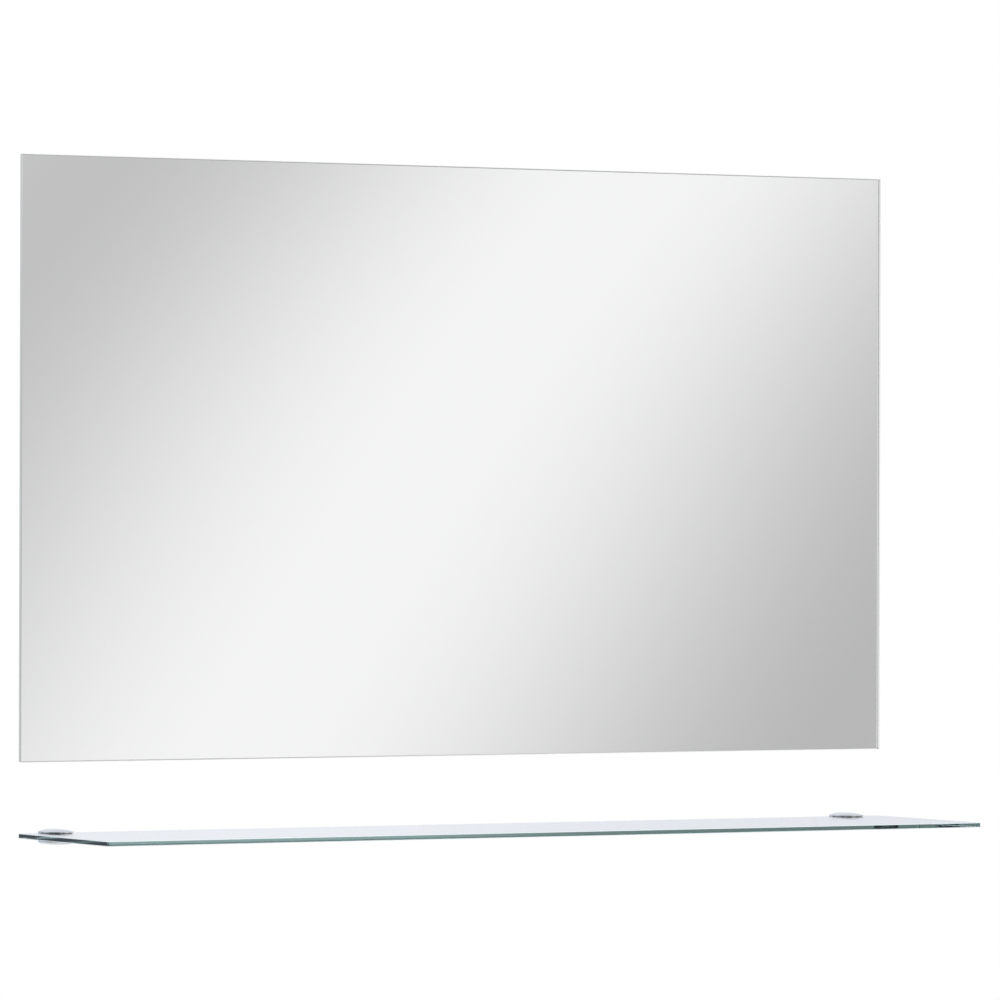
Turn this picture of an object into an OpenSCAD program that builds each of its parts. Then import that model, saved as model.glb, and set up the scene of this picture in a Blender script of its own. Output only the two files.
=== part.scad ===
// Frameless wall mirror with a separate clear glass shelf below it.
// The shelf is held at its back edge by two D-shaped clamps with set screws, and the mirror
// hangs from two wall hooks by slotted hanger plates glued on its back.
// +X is to the viewer's right, +Y points into the wall, +Z is up. The wall is the plane y = 0, and
// the origin lies on it, midway between the clamps' two wall screw holes.

/* [Mirror] */
// Width of the mirror glass
mirror_w = 1000; // [600:10:1400]
// Height of the mirror glass
mirror_h = 600; // [400:10:900]
// Thickness of the mirror glass
mirror_t = 4; // [3:0.5:6]
// Width of the polished arris along the mirror's edges
mirror_arris = 0.8; // [0.4:0.1:1.2]
// Corner radius of the mirror
mirror_corner_r = 1.6; // [1.4:0.2:12]
// Thickness of the silver layer, drawn thicker than the real film
silver_t = 0.2; // [0.1:0.1:0.4]
// Thickness of the protective back paint, drawn thicker than the real coat
paint_t = 0.3; // [0.2:0.1:0.6]
// Gap between the wall and the mirror's painted back
wall_gap = 7; // [6.4:0.2:12]
// Height of the mirror's bottom edge above the shelf's top face
mirror_above_shelf = 70; // [30:5:250]

/* [Shelf] */
// Length of the glass shelf
shelf_w = 1000; // [400:10:1400]
// Depth of the glass shelf, from back edge to front edge
shelf_d = 200; // [100:5:300]
// Thickness of the glass shelf
shelf_t = 5; // [4:0.5:8]
// Width of the polished arris along the shelf's edges
shelf_arris = 0.6; // [0.3:0.1:1.2]
// Corner radius of the shelf
shelf_corner_r = 2; // [1.4:0.2:20]

/* [Clamp body] */
// Distance from the shelf's end to the middle of a clamp
clamp_inset = 40; // [20:1:120]
// Width of a clamp
clamp_w = 30; // [26:1:44]
// How far a clamp stands out from the wall
clamp_reach = 30.5; // [27:0.5:60]
// Thickness of the top jaw at its crown
top_jaw_t = 3.2; // [3:0.1:6]
// Metal under the lower pad's recess, which the set screw threads through
jaw_floor_t = 2.7; // [1.6:0.1:6]
// Thickness of the web between the jaws, against the wall
web_t = 6; // [4:0.5:12]
// How far the top jaw's crown rises above its rim
top_crown = 2.4; // [0.6:0.1:2.4]
// Width of the flat in the middle of that crown
top_flat = 2; // [1:0.5:16]
// How far the lower jaw's crown reaches below its rim
bottom_crown = 2.8; // [0.6:0.1:4]
// Width of the flat in the middle of that crown
bottom_flat = 18; // [12:0.5:22]
// Easing of the edges that face the glass
lip_ease = 0.3; // [0.1:0.1:0.4]
// Diameter of the wall screw hole in the web
clamp_hole_d = 4; // [3:0.1:4.6]
// Diameter of the countersink of that hole
countersink_d = 6.8; // [5:0.1:8]

/* [Clamp pads and screw] */
// Thickness of the soft sheet under the top jaw
upper_pad_t = 0.5; // [0.3:0.1:1.5]
// How far that sheet's outline stays inside the jaw's outline
upper_pad_margin = 1.5; // [0.5:0.1:4]
// Diameter of the lower pressure pad
lower_pad_d = 10; // [8:0.5:13]
// Thickness of the lower pressure pad
lower_pad_t = 1.8; // [1.4:0.1:3]
// Depth of the socket in the pad that takes the screw's tip
pad_socket = 0.8; // [0.4:0.1:1]
// Height of the lower pad above the lower jaw when it holds the glass
pad_stand = 1.3; // [0.4:0.1:3]
// Travel of the pad from holding the glass to fully released
pad_travel = 1.6; // [0.8:0.1:2.4]
// Diameter of the set screw
screw_d = 5; // [4:0.5:6]
// Width across the flats of the set screw's hex socket
hex_flats = 2.5; // [2:0.1:3]
// Depth of that hex socket
hex_depth = 1.8; // [1:0.1:2.4]
// How far the set screw's end stays inside the lower jaw
screw_sink = 0.2; // [0.1:0.1:1]
// Chamfer at both ends of the set screw
screw_chamfer = 0.4; // [0.2:0.1:0.8]
// Chamfer round the rim of the lower pad
pad_chamfer = 0.3; // [0.1:0.1:0.5]

/* [Mirror hanging] */
// Distance from the mirror's side edge to the middle of a hanger
hanger_inset = 150; // [80:5:250]
// Distance from the mirror's top edge to the hook's seat
hanger_drop = 120; // [80:5:180]
// Width and height of a hanger plate
plate_size = 80; // [68:1:120]
// Thickness of the hanger plate's sheet
plate_t = 1; // [0.8:0.1:1.5]
// Corner radius of the hanger plate
plate_corner_r = 6; // [2:0.5:12]
// Thickness of the adhesive foam tape under a hanger plate
tape_t = 1; // [0.5:0.1:1.6]
// Width of the pressed bridge on the plate, at its foot
bridge_w = 50; // [44:1:60]
// Height of the pressed bridge on the plate, at its foot
bridge_h = 36; // [32:1:50]
// How far the bridge's sloping sides run in
bridge_slope = 4; // [2:0.5:5]
// Height of the slot in the bridge
slot_h = 14; // [11:0.5:16]
// Width of a wall hook
hook_w = 20; // [14:1:26]
// Sheet thickness of a wall hook
hook_t = 1.5; // [1:0.1:2]
// Height of the hook's upturned lip over its seat
lip_h = 6; // [4:0.5:7]
// Radius of the lip's two upper corners
lip_corner_r = 2; // [0.5:0.5:3]
// Height of the hook's back plate over its seat
hook_back_h = 34; // [32:1:50]
// Radius of the back plate's two upper corners
hook_corner_r = 4; // [1:0.5:6]
// Height of the hook's screw hole over its seat
hook_hole_up = 24; // [20:1:26]
// Diameter of the hook's screw hole
hook_hole_d = 4.5; // [3.5:0.1:6]
// Diameter of a rubber bumper
bumper_d = 20; // [12:1:30]
// Rounding of the bumper's face against the wall
bumper_round = 1.5; // [0.5:0.1:3]
// Distance from the mirror's side edge to the middle of a bumper
bumper_inset = 60; // [20:5:150]
// Height of a bumper's middle above the mirror's bottom edge
bumper_up = 50; // [20:5:120]

/* [Clearances] */
// Gap between the shelf's back edge and the clamp's web
glass_back_gap = 0.5; // [0.2:0.1:2]
// Gap between the hook and each face of the sheet that hangs in it
hook_gap = 0.4; // [0.3:0.1:0.6]
// Gap at each side of the hook in the plate's slot
slot_side_gap = 2; // [1:0.5:4]
// Gap between the tape and the bridge's foot
tape_gap = 1; // [0.5:0.5:3]
// Radial gap between the set screw and the threaded hole
thread_gap = 0.08; // [0.05:0.01:0.1]
// Radial gap between the lower pad and its recess
pad_gap = 0.4; // [0.3:0.1:0.8]
// Gap under the lower pad when it is fully released
pad_end_gap = 0.1; // [0.1:0.1:0.5]

/* [Hidden] */
$fn = 64;
left = -1;
right = 1;
post_fn = 32;        // facets round the corner posts of a glass sheet
arc_steps = 6;       // straight steps that a small fillet or bend is drawn with
tiny = 0.01;         // thickness of a face that only shapes a hull
over = 1;            // how far a cutting tool runs past the face that it cuts

// Heights, from the middle of the clamps' mouth
mouth_h = upper_pad_t + shelf_t + pad_stand;
mouth_top = mouth_h / 2;
mouth_floor = -mouth_h / 2;
shelf_top = mouth_top - upper_pad_t;
shelf_bottom = shelf_top - shelf_t;
pad_bottom = shelf_bottom - lower_pad_t;
recess_floor = pad_bottom - pad_travel - pad_end_gap;
clamp_top = mouth_top + top_jaw_t;
clamp_bottom = recess_floor - jaw_floor_t;
screw_top = pad_bottom + pad_socket;
screw_bottom = clamp_bottom + screw_sink;
mirror_bottom = shelf_top + mirror_above_shelf;
hook_seat = mirror_bottom + mirror_h - hanger_drop;
slot_middle = hook_seat - slot_h / 2;

// Distances from the wall
paint_front = wall_gap + paint_t;
silver_front = paint_front + silver_t;
plate_back = wall_gap - tape_t - plate_t;
bridge_back = hook_t + hook_gap;
lip_back = bridge_back + plate_t + hook_gap;
lip_front = lip_back + hook_t;
hook_bend_r = hook_gap;
shelf_back = web_t + glass_back_gap;
nose_r = clamp_w / 2;
nose_centre = clamp_reach - nose_r;
screw_out = (web_t + clamp_reach) / 2;

// Edges of the jaws: the top one rises in a shallow dome, and the others are quarter rounds
top_edge = dome(nose_r - top_flat / 2, top_crown);
bottom_edge = quarter(nose_r - bottom_flat / 2, bottom_crown);
lip_edge = quarter(lip_ease, lip_ease);

// Distances from the middle
clamp_x = shelf_w / 2 - clamp_inset;
hanger_x = mirror_w / 2 - hanger_inset;
bumper_x = mirror_w / 2 - bumper_inset;

// ---- Shared shapes ----

// Points on an arc round a centre, from one angle to another
function arc(centre, r, from, to) =
    [for (i = [0:arc_steps]) let (a = from + (to - from) * i / arc_steps)
        centre + r * [cos(a), sin(a)]];

// Outline of a rectangle round the origin with round corners
function round_rect(w, h, r) = concat(
    arc([w / 2 - r, h / 2 - r], r, 0, 90),
    arc([r - w / 2, h / 2 - r], r, 90, 180),
    arc([r - w / 2, r - h / 2], r, 180, 270),
    arc([w / 2 - r, r - h / 2], r, 270, 360));

// Outline of an upright tab that stands on a straight foot, with two round upper corners
function tab(w, foot, top, r) = concat(
    [[-w / 2, foot], [w / 2, foot]],
    arc([w / 2 - r, top - r], r, 0, 90),
    arc([r - w / 2, top - r], r, 90, 180));

// An edge of a jaw is a list of points from the jaw's side to its face, each of them
// [distance in from the side, distance from the face]. A quarter round meets both squarely
function quarter(run, rise) =
    [for (p = arc([0, 0], 1, 0, 90)) [run * (1 - p[0]), rise * (1 - p[1])]];

// An edge that is a shallow part of a large circle, level where it meets the face
function dome(run, rise) = let (r = (run * run + rise * rise) / (2 * rise))
    [for (p = arc([0, 0], r, acos(run / r), 90)) [run - p[0], r - p[1]]];

// Half of a jaw's section, from the middle of its lower face round to the middle of its upper one
function half_section(low, high, below, above) = concat(
    [[0, low]],
    [for (i = [len(below) - 1:-1:0]) [nose_r - below[i][0], low + below[i][1]]],
    [for (p = above) [nose_r - p[0], high - p[1]]],
    [[0, high]]);

// The whole section that a half section stands for, without the points on its middle line
function whole_section(half) = concat(
    [for (i = [1:len(half) - 2]) half[i]],
    [for (i = [len(half) - 2:-1:1]) [-half[i][0], half[i][1]]]);

// A plate that lies along the wall: it is drawn in x and z, and reaches from one distance
// off the wall to a greater one
module off_wall(near, far) {
    translate([0, -near, 0])
        rotate([90, 0, 0])
            linear_extrude(height = far - near)
                children();
}

// A sheet of glass with polished arrises: four corner posts, drawn together
module glass_sheet(w, d, t, arris, corner_r) {
    hull()
        for (x = [-1, 1], y = [-1, 1])
            translate([x * (w / 2 - corner_r), y * (d / 2 - corner_r), 0])
                rotate_extrude($fn = post_fn)
                    polygon([
                        [0, 0],
                        [corner_r - arris, 0],
                        [corner_r, arris],
                        [corner_r, t - arris],
                        [corner_r - arris, t],
                        [0, t]
                    ]);
}

// A D-shaped jaw: a straight part out from the web and a half-round nose
module jaw(low, high, below, above) {
    half = half_section(low, high, below, above);
    off_wall(web_t, nose_centre)
        polygon(whole_section(half));
    translate([0, -nose_centre, 0])
        rotate([0, 0, 180])
            rotate_extrude(angle = 180)
                polygon(half);
}

// The block against the wall that joins the jaws
module web() {
    off_wall(0, web_t)
        polygon(whole_section(half_section(clamp_bottom, clamp_top, bottom_edge, top_edge)));
}

// ---- Mirror ----

module mirror_glass() {
    color([0.86, 0.9, 0.89, 0.5])
        translate([0, -silver_front, mirror_bottom + mirror_h / 2])
            rotate([90, 0, 0])
                glass_sheet(mirror_w, mirror_h, mirror_t, mirror_arris, mirror_corner_r);
}

// The coats cover the flat of the glass's back, up to the arris
module coat(near, far) {
    off_wall(near, far)
        translate([0, mirror_bottom + mirror_h / 2])
            polygon(round_rect(
                mirror_w - 2 * mirror_arris,
                mirror_h - 2 * mirror_arris,
                mirror_corner_r - mirror_arris));
}

module silver_layer() {
    color([0.88, 0.88, 0.88])
        coat(paint_front, silver_front);
}

module backing_paint() {
    color([0.42, 0.46, 0.46])
        coat(wall_gap, paint_front);
}

// ---- Mirror hanging ----

// The bridge pressed out of a hanger plate, as one sloping block from its foot to its face
module bridge_block(foot, face) {
    hull() {
        off_wall(foot, foot + tiny)
            polygon(round_rect(bridge_w, bridge_h, plate_corner_r));
        off_wall(face, face + tiny)
            polygon(round_rect(
                bridge_w - 2 * bridge_slope,
                bridge_h - 2 * bridge_slope,
                plate_corner_r));
    }
}

module hanger_plate(side) {
    color([0.72, 0.73, 0.74])
        translate([side * hanger_x, 0, slot_middle])
            difference() {
                union() {
                    off_wall(plate_back, plate_back + plate_t)
                        polygon(round_rect(plate_size, plate_size, plate_corner_r));
                    bridge_block(plate_back, bridge_back);
                }
                bridge_block(plate_back + plate_t, bridge_back + plate_t);
                off_wall(bridge_back - over, bridge_back + plate_t + over)
                    square([hook_w + 2 * slot_side_gap, slot_h], center = true);
            }
}

module hanger_tape(side) {
    color([0.9, 0.9, 0.88])
        translate([side * hanger_x, 0, slot_middle])
            off_wall(wall_gap - tape_t, wall_gap)
                difference() {
                    polygon(round_rect(plate_size, plate_size, plate_corner_r));
                    polygon(round_rect(
                        bridge_w + 2 * tape_gap,
                        bridge_h + 2 * tape_gap,
                        plate_corner_r));
                }
}

// A round rubber bumper with a softened face against the wall
module bumper(side) {
    color([0.16, 0.16, 0.17])
        translate([side * bumper_x, 0, mirror_bottom + bumper_up])
            rotate([90, 0, 0])
                rotate_extrude()
                    polygon(concat(
                        [[0, 0]],
                        arc([bumper_d / 2 - bumper_round, bumper_round], bumper_round, 270, 360),
                        [[bumper_d / 2, wall_gap], [0, wall_gap]]));
}

// The hook's seat with its two bends, seen from the hook's side
module hook_seat_section() {
    outer_r = hook_bend_r + hook_t;
    back_bend = [outer_r, hook_bend_r];
    lip_bend = [lip_back - hook_bend_r, hook_bend_r];
    polygon(concat(
        arc(back_bend, outer_r, 180, 270),
        arc(lip_bend, outer_r, 270, 360),
        arc(lip_bend, hook_bend_r, 360, 270),
        arc(back_bend, hook_bend_r, 270, 180)));
}

module wall_hook(side) {
    color([0.74, 0.74, 0.72])
        translate([side * hanger_x, 0, hook_seat])
            difference() {
                union() {
                    translate([hook_w / 2, 0, 0])
                        rotate([90, 0, -90])
                            linear_extrude(height = hook_w)
                                hook_seat_section();
                    off_wall(0, hook_t)
                        polygon(tab(hook_w, hook_bend_r, hook_back_h, hook_corner_r));
                    off_wall(lip_back, lip_front)
                        polygon(tab(hook_w, hook_bend_r, lip_h, lip_corner_r));
                }
                translate([0, over, hook_hole_up])
                    rotate([90, 0, 0])
                        cylinder(d = hook_hole_d, h = hook_t + 2 * over);
            }
}

// ---- Shelf ----

module shelf_glass() {
    color([0.8, 0.9, 0.88, 0.4])
        translate([0, -shelf_back - shelf_d / 2, shelf_bottom])
            glass_sheet(shelf_w, shelf_d, shelf_t, shelf_arris, shelf_corner_r);
}

// ---- Shelf clamps ----

module wall_screw_hole() {
    sink = (countersink_d - clamp_hole_d) / 2;
    translate([0, over, 0])
        rotate([90, 0, 0])
            cylinder(d = clamp_hole_d, h = web_t + 2 * over);
    translate([0, -web_t, 0])
        rotate([-90, 0, 0])
            cylinder(d1 = countersink_d, d2 = clamp_hole_d, h = sink);
}

module clamp_body(side) {
    color([0.8, 0.81, 0.83])
        translate([side * clamp_x, 0, 0])
            difference() {
                union() {
                    jaw(mouth_top, clamp_top, lip_edge, top_edge);
                    jaw(clamp_bottom, mouth_floor, bottom_edge, lip_edge);
                    web();
                }
                wall_screw_hole();
                translate([0, -screw_out, recess_floor])
                    cylinder(d = lower_pad_d + 2 * pad_gap, h = mouth_floor - recess_floor + over);
                translate([0, -screw_out, clamp_bottom - over])
                    cylinder(d = screw_d + 2 * thread_gap, h = jaw_floor_t + 2 * over);
            }
}

module upper_pad(side) {
    color([0.93, 0.94, 0.94, 0.6])
        translate([side * clamp_x, 0, shelf_top])
            linear_extrude(height = upper_pad_t)
                intersection() {
                    union() {
                        translate([0, -nose_centre])
                            circle(r = nose_r - upper_pad_margin);
                        translate([upper_pad_margin - nose_r, -nose_centre])
                            square([clamp_w - 2 * upper_pad_margin, nose_centre]);
                    }
                    translate([-nose_r, -clamp_reach])
                        square([clamp_w, clamp_reach - shelf_back]);
                }
}

module lower_pad(side) {
    socket_r = screw_d / 2 + thread_gap;
    color([0.92, 0.93, 0.93])
        translate([side * clamp_x, -screw_out, pad_bottom])
            rotate_extrude()
                polygon([
                    [0, pad_socket],
                    [socket_r, pad_socket],
                    [socket_r, 0],
                    [lower_pad_d / 2 - pad_chamfer, 0],
                    [lower_pad_d / 2, pad_chamfer],
                    [lower_pad_d / 2, lower_pad_t - pad_chamfer],
                    [lower_pad_d / 2 - pad_chamfer, lower_pad_t],
                    [0, lower_pad_t]
                ]);
}

module clamp_screw(side) {
    length = screw_top - screw_bottom;
    hex_r = hex_flats / 2 / cos(30);
    color([0.55, 0.55, 0.56])
        translate([side * clamp_x, -screw_out, screw_bottom])
            difference() {
                rotate_extrude()
                    polygon([
                        [0, 0],
                        [screw_d / 2 - screw_chamfer, 0],
                        [screw_d / 2, screw_chamfer],
                        [screw_d / 2, length - screw_chamfer],
                        [screw_d / 2 - screw_chamfer, length],
                        [0, length]
                    ]);
                translate([0, 0, -over])
                    cylinder(r = hex_r, h = hex_depth + over, $fn = 6);
            }
}

mirror_glass();
silver_layer();
backing_paint();
hanger_plate(left);  // left_hanger_plate
hanger_plate(right);  // right_hanger_plate
hanger_tape(left);  // left_hanger_tape
hanger_tape(right);  // right_hanger_tape
bumper(left);  // left_bumper
bumper(right);  // right_bumper
wall_hook(left);  // left_wall_hook
wall_hook(right);  // right_wall_hook
shelf_glass();
clamp_body(left);  // left_clamp_body
clamp_body(right);  // right_clamp_body
upper_pad(left);  // left_upper_pad
upper_pad(right);  // right_upper_pad
lower_pad(left);  // left_lower_pad
lower_pad(right);  // right_lower_pad
clamp_screw(left);  // left_clamp_screw
clamp_screw(right);  // right_clamp_screw
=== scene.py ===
import math

import bmesh
import bpy
from mathutils import Matrix, Vector


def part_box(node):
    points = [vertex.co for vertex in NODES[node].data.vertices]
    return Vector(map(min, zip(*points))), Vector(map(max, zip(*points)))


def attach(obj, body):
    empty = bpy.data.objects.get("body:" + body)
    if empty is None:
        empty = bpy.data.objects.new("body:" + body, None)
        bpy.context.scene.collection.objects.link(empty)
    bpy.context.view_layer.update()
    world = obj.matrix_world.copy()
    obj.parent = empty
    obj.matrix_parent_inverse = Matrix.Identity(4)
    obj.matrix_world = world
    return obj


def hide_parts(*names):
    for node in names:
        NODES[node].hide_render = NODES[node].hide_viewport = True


# A frameless wall mirror that hangs on two hooks, and a clear glass shelf below it in two
# chrome clamps. +X is to the viewer's right, +Y points into the wall, +Z is up, and all
# lengths are in metres.
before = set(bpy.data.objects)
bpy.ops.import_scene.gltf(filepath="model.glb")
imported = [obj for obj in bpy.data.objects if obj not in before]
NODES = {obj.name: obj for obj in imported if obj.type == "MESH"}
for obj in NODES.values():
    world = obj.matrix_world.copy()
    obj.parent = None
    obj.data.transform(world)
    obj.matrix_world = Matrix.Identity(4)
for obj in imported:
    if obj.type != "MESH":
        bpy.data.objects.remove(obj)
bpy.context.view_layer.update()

MM = 0.001
SIDES = ("left", "right")
THROUGH_Y = 1
THROUGH_Z = 2

# What makes a Mix node mix colours, and which of its outputs then holds the colour.
COLOURS = {"data_type": "RGBA"}
MIXED_COLOUR = 2


# ---- Materials ----

def rgb(code):
    """An sRGB hex colour as linear red, green, blue and alpha."""
    channels = [int(code[i:i + 2], 16) / 255 for i in (1, 3, 5)]
    linear = [c / 12.92 if c <= 0.04045 else ((c + 0.055) / 1.055) ** 2.4 for c in channels]
    return (*linear, 1.0)


def add(tree, kind, *values, settings=None, **inputs):
    """Adds a node with its settings. Its inputs are given in order or by name, each as a value
    or as a socket to link. A kind in capitals is an operation of the Math node."""
    if kind.isupper():
        settings = {"operation": kind}
        kind = "ShaderNodeMath"
    made = tree.nodes.new(kind)
    for name, value in (settings or {}).items():
        setattr(made, name, value)
    given = list(zip(made.inputs, values))
    for name, value in inputs.items():
        named = [s for s in made.inputs if s.enabled and s.name == name.replace("_", " ")]
        given.append((named[0], value))
    for socket, value in given:
        if isinstance(value, bpy.types.NodeSocket):
            tree.links.new(value, socket)
        else:
            socket.default_value = value
    return made


def blank(name):
    """A material with an empty tree."""
    made = bpy.data.materials.new(name)
    made.use_nodes = True
    made.node_tree.nodes.clear()
    return made, made.node_tree


def surfaced(made, volume=None, **inputs):
    """Ends a material's tree with a Principled surface. A constant is set on the shader itself."""
    tree = made.node_tree
    shader = add(tree, "ShaderNodeBsdfPrincipled", **inputs)
    output = add(tree, "ShaderNodeOutputMaterial", Surface=shader.outputs["BSDF"])
    if volume:
        tree.links.new(volume, output.inputs["Volume"])
    return made


def marks(tree, size, detail=2.0, stretch=(1.0, 1.0, 1.0)):
    """The fine natural marks of a surface: a noise on the object's own coordinates, with
    features of a size in metres, and longer along an axis where the stretch is low."""
    place = add(tree, "ShaderNodeTexCoord").outputs["Object"]
    drawn = add(tree, "ShaderNodeMapping", Vector=place, Scale=stretch).outputs["Vector"]
    pattern = add(tree, "ShaderNodeTexNoise", Vector=drawn, Scale=1 / size, Detail=detail)
    return pattern.outputs["Fac"]


def between(tree, pattern, low, high, first, second):
    """Goes smoothly from a first number or sRGB colour to a second one, as a pattern's value
    goes from low to high."""
    eased = {"interpolation_type": "SMOOTHSTEP"}
    span = {"Value": pattern, "From_Min": low, "From_Max": high}
    if not isinstance(first, str):
        return add(tree, "ShaderNodeMapRange", settings=eased, To_Min=first, To_Max=second,
                   **span).outputs["Result"]
    share = add(tree, "ShaderNodeMapRange", settings=eased, **span).outputs["Result"]
    mixed = add(tree, "ShaderNodeMix", settings=COLOURS, Factor=share, A=rgb(first), B=rgb(second))
    return mixed.outputs[MIXED_COLOUR]


def glass(name, density, tint):
    """Polished float glass: clear, with a faint green that shows only in long paths through it,
    so its faces look clear and its edges dark."""
    made, tree = blank(name)
    body = add(tree, "ShaderNodeVolumeAbsorption", Color=rgb(tint), Density=density)
    return surfaced(made, body.outputs["Volume"], Base_Color=rgb("#ffffff"), Roughness=0.0,
                    IOR=1.52, Transmission_Weight=1.0)


shelf_float_glass = glass("polished float glass, shelf", 20.0, "#d8e5e4")
mirror_float_glass = glass("polished low-iron float glass, mirror", 6.0, "#d8e6e0")


def ground_glass(name, dark, light):
    """Fine-ground glass edge: satin and pale, because its tiny pits scatter the light. They are
    drawn 0.4 mm wide, coarser than real, so that they show. On the shelf's arris, the pale
    bluish-white tone is also a painted highlight."""
    made, tree = blank(name)
    grit = marks(tree, 0.4 * MM)
    pits = add(tree, "ShaderNodeBump", Height=grit, Distance=0.02 * MM, Strength=0.5)
    return surfaced(made, Base_Color=between(tree, grit, 0.3, 0.7, dark, light),
                    Roughness=0.5, IOR=1.52, Normal=pits.outputs["Normal"])


# The shelf's arris is fine-ground, and its pale bluish-white tone is also a painted highlight along
# the arris.
ground_arris_painted_highlight = ground_glass("fine-ground glass arris", "#e2f1f8", "#f2fcff")
ground_edge = ground_glass("fine-ground mirror edge", "#d4d8da", "#e0e4e6")


def mirror_silver():
    """Deposited silver: an even, perfectly sharp mirror."""
    made, _ = blank("deposited mirror silver")
    return surfaced(made, Metallic=1.0, Roughness=0.0, Base_Color=rgb("#f7f7f7"))


silver = mirror_silver()


def protective_paint():
    """Curtain-coated mirror backing paint: matt grey-green, with the fine orange peel and faint
    streaks that a poured and oven-dried coat keeps."""
    made, tree = blank("oven-dried mirror backing paint")
    streaks = marks(tree, 120 * MM, detail=4.0, stretch=(1.0, 1.0, 0.25))
    peel = add(tree, "ShaderNodeBump", Height=marks(tree, 1.8 * MM, detail=1.0),
               Distance=0.06 * MM, Strength=0.6)
    return surfaced(made, Base_Color=between(tree, streaks, 0.3, 0.7, "#667170", "#6f7a79"),
                    Roughness=0.62, Specular_IOR_Level=0.4, Normal=peel.outputs["Normal"])


back_paint = protective_paint()


def zinc():
    """Zinc-plated pressed steel: a soft grey metal with cloudy brightness and the straight
    grain of the rolled strip, which is drawn 1.2 mm wide, coarser than real, so that it shows."""
    made, tree = blank("bright zinc-plated strip steel")
    cloud = marks(tree, 9 * MM, detail=3.0)
    grain = add(tree, "ShaderNodeBump", Height=marks(tree, 1.2 * MM, stretch=(1.0, 1.0, 0.06)),
                Distance=0.02 * MM, Strength=0.5)
    return surfaced(made, Base_Color=between(tree, cloud, 0.3, 0.7, "#b9bcbf", "#cfd1d2"),
                    Roughness=between(tree, cloud, 0.3, 0.7, 0.24, 0.38), Metallic=1.0,
                    Normal=grain.outputs["Normal"])


zinc_steel = zinc()


def foam():
    """White polyethylene foam tape: dull, with cells that lie cut open on its edge. They are
    drawn 0.6 mm wide, a little coarser than real, so that they show."""
    made, tree = blank("white closed-cell foam tape")
    place = add(tree, "ShaderNodeTexCoord").outputs["Object"]
    cells = add(tree, "ShaderNodeTexVoronoi", Vector=place, Scale=1 / (0.6 * MM))
    cells = cells.outputs["Distance"]
    walls = add(tree, "ShaderNodeBump", Height=cells, Distance=0.1 * MM, Strength=0.6)
    return surfaced(made, Base_Color=between(tree, cells, 0.1, 0.6, "#dedfda", "#f0f0ed"),
                    Roughness=0.9, Normal=walls.outputs["Normal"])


foam_tape = foam()


def rubber():
    """Moulded nitrile rubber: near black and matt, with the texture of a spark-eroded mould. It is
    drawn coarser than real, so that it shows."""
    made, tree = blank("moulded black rubber")
    sparks = marks(tree, 0.7 * MM)
    texture = add(tree, "ShaderNodeBump", Height=sparks, Distance=0.08 * MM, Strength=0.5)
    return surfaced(made, Base_Color=between(tree, sparks, 0.35, 0.65, "#1e1e20", "#2a2a2c"),
                    Roughness=0.75, Normal=texture.outputs["Normal"])


black_rubber = rubber()


def chrome():
    """Bright chrome over a polished zinc casting: a cool mirror finish, with the very long soft
    ripple that buffing leaves and a trace of haze."""
    made, tree = blank("bright chrome on buffed zinc casting")
    haze = marks(tree, 6 * MM)
    ripple = add(tree, "ShaderNodeBump", Height=haze, Distance=0.02 * MM, Strength=0.4)
    return surfaced(made, Base_Color=rgb("#d6d8db"), Metallic=1.0,
                    Roughness=between(tree, haze, 0.35, 0.65, 0.05, 0.085),
                    Normal=ripple.outputs["Normal"])


chrome_casting = chrome()


def clear_sheet():
    """Soft clear vinyl: waxy, see-through, slightly frosted by its calender rolls. The frost is
    drawn coarser than real, so that it shows."""
    made, tree = blank("clear soft vinyl sheet")
    frost = marks(tree, 0.9 * MM)
    skin = add(tree, "ShaderNodeBump", Height=frost, Distance=0.03 * MM, Strength=0.4)
    return surfaced(made, Base_Color=rgb("#f1f4f3"), IOR=1.53, Transmission_Weight=0.85,
                    Roughness=between(tree, frost, 0.3, 0.7, 0.22, 0.34),
                    Normal=skin.outputs["Normal"])


clear_pad = clear_sheet()


def nylon():
    """Natural injection-moulded nylon: milky off-white with a low sheen, cloudy where the melt
    flowed, and with a fine mould texture, drawn coarser than real, so that it shows."""
    made, tree = blank("natural moulded nylon")
    flow = marks(tree, 4 * MM)
    skin = add(tree, "ShaderNodeBump", Height=marks(tree, 0.6 * MM), Distance=0.03 * MM,
               Strength=0.4)
    return surfaced(made, Base_Color=between(tree, flow, 0.3, 0.7, "#e2e2dc", "#eeeeea"),
                    Roughness=0.42, Normal=skin.outputs["Normal"])


nylon_pad = nylon()


def turned_steel():
    """Machined steel: a plain grey metal with turning marks round its axis. They are drawn 0.4 mm
    wide, coarser than real, so that they show."""
    made, tree = blank("machined set-screw steel")
    turning = marks(tree, 0.4 * MM, stretch=(0.3, 0.3, 1.0))
    ridges = add(tree, "ShaderNodeBump", Height=turning, Distance=0.02 * MM, Strength=0.5)
    return surfaced(made, Base_Color=between(tree, turning, 0.3, 0.7, "#77787b", "#8d8e90"),
                    Roughness=between(tree, turning, 0.3, 0.7, 0.28, 0.42), Metallic=1.0,
                    Normal=ridges.outputs["Normal"])


screw_steel = turned_steel()


# ---- Shared shapes ----

CORNER_STEPS = 8
TURN_STEPS = 64
AXIS_GAP = 1e-6
WELD = 1e-7


def arc(cx, cy, radius, start, end, steps):
    """Points on an arc round a centre, between two angles in degrees."""
    turn = [math.radians(start + (end - start) * i / steps) for i in range(steps + 1)]
    return [(cx + radius * math.cos(a), cy + radius * math.sin(a)) for a in turn]


def round_rect(width, height, radius):
    """The outline of a rectangle round the origin, anticlockwise, with round corners."""
    x, y = width / 2 - radius, height / 2 - radius
    corners = ((x, y, 0), (-x, y, 90), (-x, -y, 180), (x, -y, 270))
    return [point for cx, cy, start in corners
            for point in arc(cx, cy, radius, start, start + 90, CORNER_STEPS)]


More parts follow.
